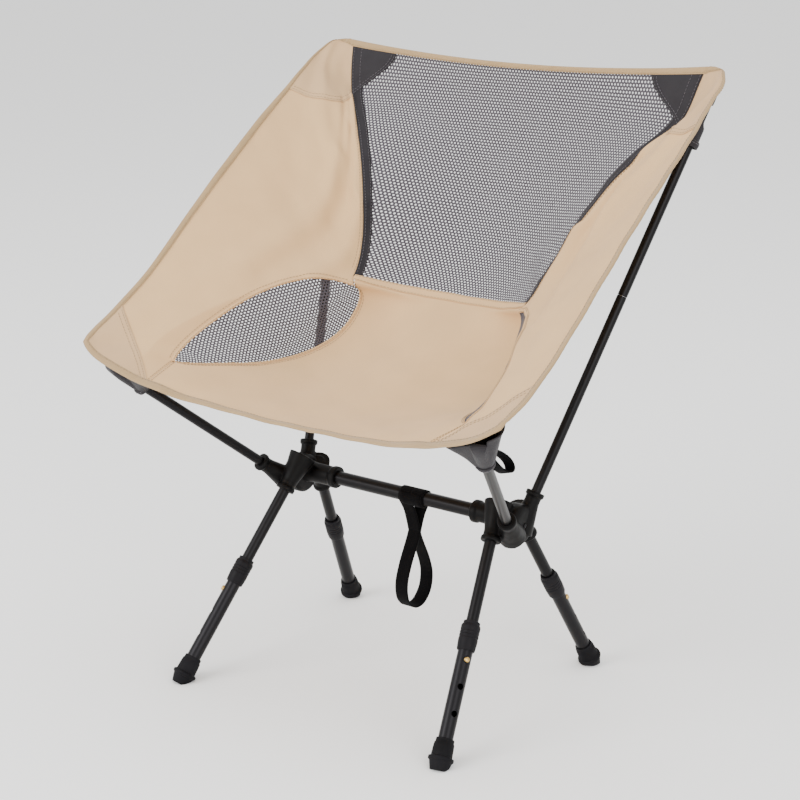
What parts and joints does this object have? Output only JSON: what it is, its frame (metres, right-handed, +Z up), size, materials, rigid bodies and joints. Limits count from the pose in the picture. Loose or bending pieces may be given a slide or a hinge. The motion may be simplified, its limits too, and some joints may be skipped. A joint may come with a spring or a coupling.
{
  "type": "ultralight backpacking chair",
  "caption": "Low folding camp chair: a tan cloth sling with a mesh back on slim poles, two moulded hubs, a crossbar and splayed legs that shorten by snap buttons.",
  "frame": {"origin": "on the ground under the middle of the chair's bounding box", "axes": "+Z up, +X towards the sitter's left, the sitter faces -Y"},
  "size_m": [0.5518, 0.4701, 0.6828],
  "materials": {
    "black_anodised_tube": "satin black anodised",
    "black_nylon": "moulded, satin",
    "black_rubber": "matt",
    "brass": "bright",
    "spring_steel": "plain",
    "shock_cord": "braided",
    "tan_oxford_cloth": "ripstop weave",
    "tan_binding": "folded tape",
    "black_mesh_cloth": "open knitted mesh",
    "black_webbing": "woven webbing"
  },
  "bodies": {
    "chair_frame": {"hub_left": "black_nylon", "hub_right": "black_nylon", "hub_rivet_left": "spring_steel", "hub_rivet_right": "spring_steel", "crossbar": "black_anodised_tube", "seat_panel": "tan_oxford_cloth", "back_mesh": "black_mesh_cloth", "wing_left": "tan_oxford_cloth", "wing_right": "tan_oxford_cloth", "side_window_left": "black_mesh_cloth", "side_window_right": "black_mesh_cloth", "edge_binding": "tan_binding", "pull_tab_left": "black_webbing", "pull_tab_right": "black_webbing", "front_left_pole": "black_anodised_tube", "front_left_pole_tip": "black_nylon", "rear_left_pole_lower": "black_anodised_tube", "rear_left_pole_upper": "black_anodised_tube", "rear_left_pole_ferrule": "spring_steel", "rear_left_pole_tip": "black_nylon", "front_left_pocket": "black_webbing", "rear_left_pocket": "black_webbing", "front_left_shock_cord": "shock_cord", "rear_left_shock_cord": "shock_cord", "front_right_pole": "black_anodised_tube", "front_right_pole_tip": "black_nylon", "rear_right_pole_lower": "black_anodised_tube", "rear_right_pole_upper": "black_anodised_tube", "rear_right_pole_ferrule": "spring_steel", "rear_right_pole_tip": "black_nylon", "front_right_pocket": "black_webbing", "rear_right_pocket": "black_webbing", "front_right_shock_cord": "shock_cord", "rear_right_shock_cord": "shock_cord"},
    "front_left_upper": {"front_left_upper_leg": "black_anodised_tube", "front_left_button_spring": "spring_steel"},
    "front_left_lower": {"front_left_lower_leg": "black_anodised_tube", "front_left_collar": "black_nylon", "front_left_foot_cap": "black_rubber"},
    "front_left_button": {"front_left_snap_button": "brass"},
    "front_right_upper": {"front_right_upper_leg": "black_anodised_tube", "front_right_button_spring": "spring_steel"},
    "front_right_lower": {"front_right_lower_leg": "black_anodised_tube", "front_right_collar": "black_nylon", "front_right_foot_cap": "black_rubber"},
    "front_right_button": {"front_right_snap_button": "brass"},
    "rear_left_upper": {"rear_left_upper_leg": "black_anodised_tube", "rear_left_button_spring": "spring_steel"},
    "rear_left_lower": {"rear_left_lower_leg": "black_anodised_tube", "rear_left_collar": "black_nylon", "rear_left_foot_cap": "black_rubber"},
    "rear_left_button": {"rear_left_snap_button": "brass"},
    "rear_right_upper": {"rear_right_upper_leg": "black_anodised_tube", "rear_right_button_spring": "spring_steel"},
    "rear_right_lower": {"rear_right_lower_leg": "black_anodised_tube", "rear_right_collar": "black_nylon", "rear_right_foot_cap": "black_rubber"},
    "rear_right_button": {"rear_right_snap_button": "brass"},
    "strap": {"hanging_strap": "black_webbing"}
  },
  "joints": [
    {"name": "front_left_leg_pull_out", "type": "slide", "parent": "chair_frame", "child": "front_left_upper", "axis": [-0.1451, -0.5938, -0.7914], "range_m": [0, 0.04], "stiffness_N_per_m": 100, "springref_m": -0.1},
    {"name": "front_left_leg_shorten", "type": "slide", "parent": "front_left_upper", "child": "front_left_lower", "axis": [0.1451, 0.5938, 0.7914], "range_m": [0, 0.058], "deforming": ["front_left_snap_button"]},
    {"name": "front_left_button_press", "type": "slide", "parent": "front_left_upper", "child": "front_left_button", "axis": [0.7924, 0.4093, -0.4523], "range_m": [0, 0.0035], "stiffness_N_per_m": 800, "springref_m": -0.004, "deforming": ["front_left_button_spring"]},
    {"name": "front_right_leg_pull_out", "type": "slide", "parent": "chair_frame", "child": "front_right_upper", "axis": [0.1451, -0.5938, -0.7914], "range_m": [0, 0.04], "stiffness_N_per_m": 100, "springref_m": -0.1},
    {"name": "front_right_leg_shorten", "type": "slide", "parent": "front_right_upper", "child": "front_right_lower", "axis": [-0.1451, 0.5938, 0.7914], "range_m": [0, 0.058], "deforming": ["front_right_snap_button"]},
    {"name": "front_right_button_press", "type": "slide", "parent": "front_right_upper", "child": "front_right_button", "axis": [-0.7924, 0.4093, -0.4523], "range_m": [0, 0.0035], "stiffness_N_per_m": 800, "springref_m": -0.004, "deforming": ["front_right_button_spring"]},
    {"name": "rear_left_leg_pull_out", "type": "slide", "parent": "chair_frame", "child": "rear_left_upper", "axis": [-0.1478, 0.4811, -0.8641], "range_m": [0, 0.04], "stiffness_N_per_m": 100, "springref_m": -0.1},
    {"name": "rear_left_leg_shorten", "type": "slide", "parent": "rear_left_upper", "child": "rear_left_lower", "axis": [0.1478, -0.4811, 0.8641], "range_m": [0, 0.058], "deforming": ["rear_left_snap_button"]},
    {"name": "rear_left_button_press", "type": "slide", "parent": "rear_left_upper", "child": "rear_left_button", "axis": [0.7702, -0.4921, -0.4058], "range_m": [0, 0.0035], "stiffness_N_per_m": 800, "springref_m": -0.004, "deforming": ["rear_left_button_spring"]},
    {"name": "rear_right_leg_pull_out", "type": "slide", "parent": "chair_frame", "child": "rear_right_upper", "axis": [0.1478, 0.4811, -0.8641], "range_m": [0, 0.04], "stiffness_N_per_m": 100, "springref_m": -0.1},
    {"name": "rear_right_leg_shorten", "type": "slide", "parent": "rear_right_upper", "child": "rear_right_lower", "axis": [-0.1478, -0.4811, 0.8641], "range_m": [0, 0.058], "deforming": ["rear_right_snap_button"]},
    {"name": "rear_right_button_press", "type": "slide", "parent": "rear_right_upper", "child": "rear_right_button", "axis": [-0.7702, -0.4921, -0.4058], "range_m": [0, 0.0035], "stiffness_N_per_m": 800, "springref_m": -0.004, "deforming": ["rear_right_button_spring"]},
    {"name": "strap_swing", "type": "hinge", "parent": "chair_frame", "child": "strap", "pos_m": [0.014, 0.0011, 0.2083], "axis": [1, 0, 0], "range_deg": [-100, 100]}
  ]
}
